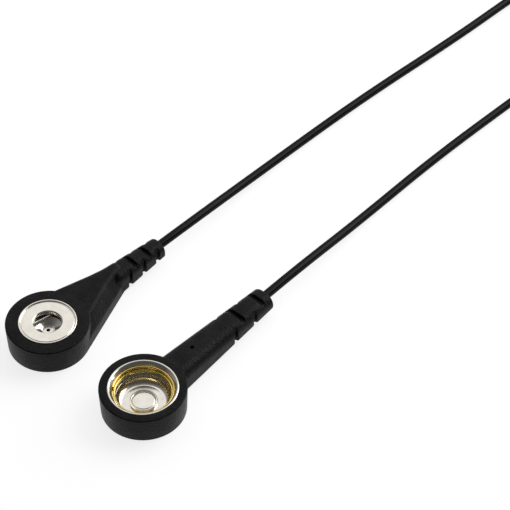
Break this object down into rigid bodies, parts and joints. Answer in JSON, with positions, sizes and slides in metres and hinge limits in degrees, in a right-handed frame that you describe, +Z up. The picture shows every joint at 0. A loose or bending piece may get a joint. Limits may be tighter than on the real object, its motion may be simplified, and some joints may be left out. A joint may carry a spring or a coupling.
{
  "type": "esd grounding lead",
  "caption": "Straight black grounding lead with a moulded large press-stud socket on one end and a small one on the other, its slack wound and tied.",
  "frame": {"origin": "on the table under the middle of the large socket, at its housing's flat underside", "axes": "+Z up along the large socket's axis, out of its mouth; the tails and the cord lead away between +X and +Y"},
  "size_m": [0.1423, 0.1449, 0.0052],
  "materials": {
    "black_pvc": "satin moulded PVC with a fine grain",
    "cord_jacket": "glossy extruded PVC",
    "nickel": "bright nickel plate",
    "gilt_spring": "gilt spring wire",
    "spring_steel": "drawn spring steel wire",
    "tinned_metal": "tinned",
    "ceramic": "lacquered ceramic",
    "shrink_sleeve": "heat-shrink sleeve",
    "tie_strap": "woven strap"
  },
  "bodies": {
    "lead": {"large_housing": "black_pvc", "large_socket_cup": "nickel", "large_rivet": "nickel", "large_terminal_tag": "tinned_metal", "resistor_lead_front": "tinned_metal", "resistor_cap_front": "tinned_metal", "resistor_body": "ceramic", "resistor_cap_rear": "tinned_metal", "resistor_lead_rear": "tinned_metal", "resistor_sleeve": "shrink_sleeve", "splice_sleeve": "tinned_metal", "large_conductor_end": "tinned_metal", "large_cord_end": "cord_jacket", "small_housing": "black_pvc", "small_face_plate": "nickel", "small_socket_base": "nickel", "small_eyelet": "nickel", "small_terminal_tag": "tinned_metal", "small_conductor_end": "tinned_metal", "small_cord_end": "cord_jacket", "cord_run_small": "cord_jacket", "cord_coil": "cord_jacket", "cord_run_large": "cord_jacket", "coil_tie": "tie_strap"},
    "ring": {"ring_spring": "gilt_spring"},
    "spring_left": {"small_spring_left": "spring_steel"},
    "spring_right": {"small_spring_right": "spring_steel"}
  },
  "joints": [
    {"name": "ring_turn", "type": "hinge", "parent": "lead", "child": "ring", "pos_m": [0, 0, 0.00435], "axis": [0, 0, 1], "continuous": true},
    {"name": "wire_left_spread", "type": "slide", "parent": "lead", "child": "spring_left", "axis": [-0.6198, 0.7848, 0], "range_m": [0, 0.00035], "stiffness_N_per_m": 3000},
    {"name": "wire_right_spread", "type": "slide", "parent": "lead", "child": "spring_right", "axis": [0.6198, -0.7848, 0], "range_m": [0, 0.00035], "stiffness_N_per_m": 3000}
  ]
}
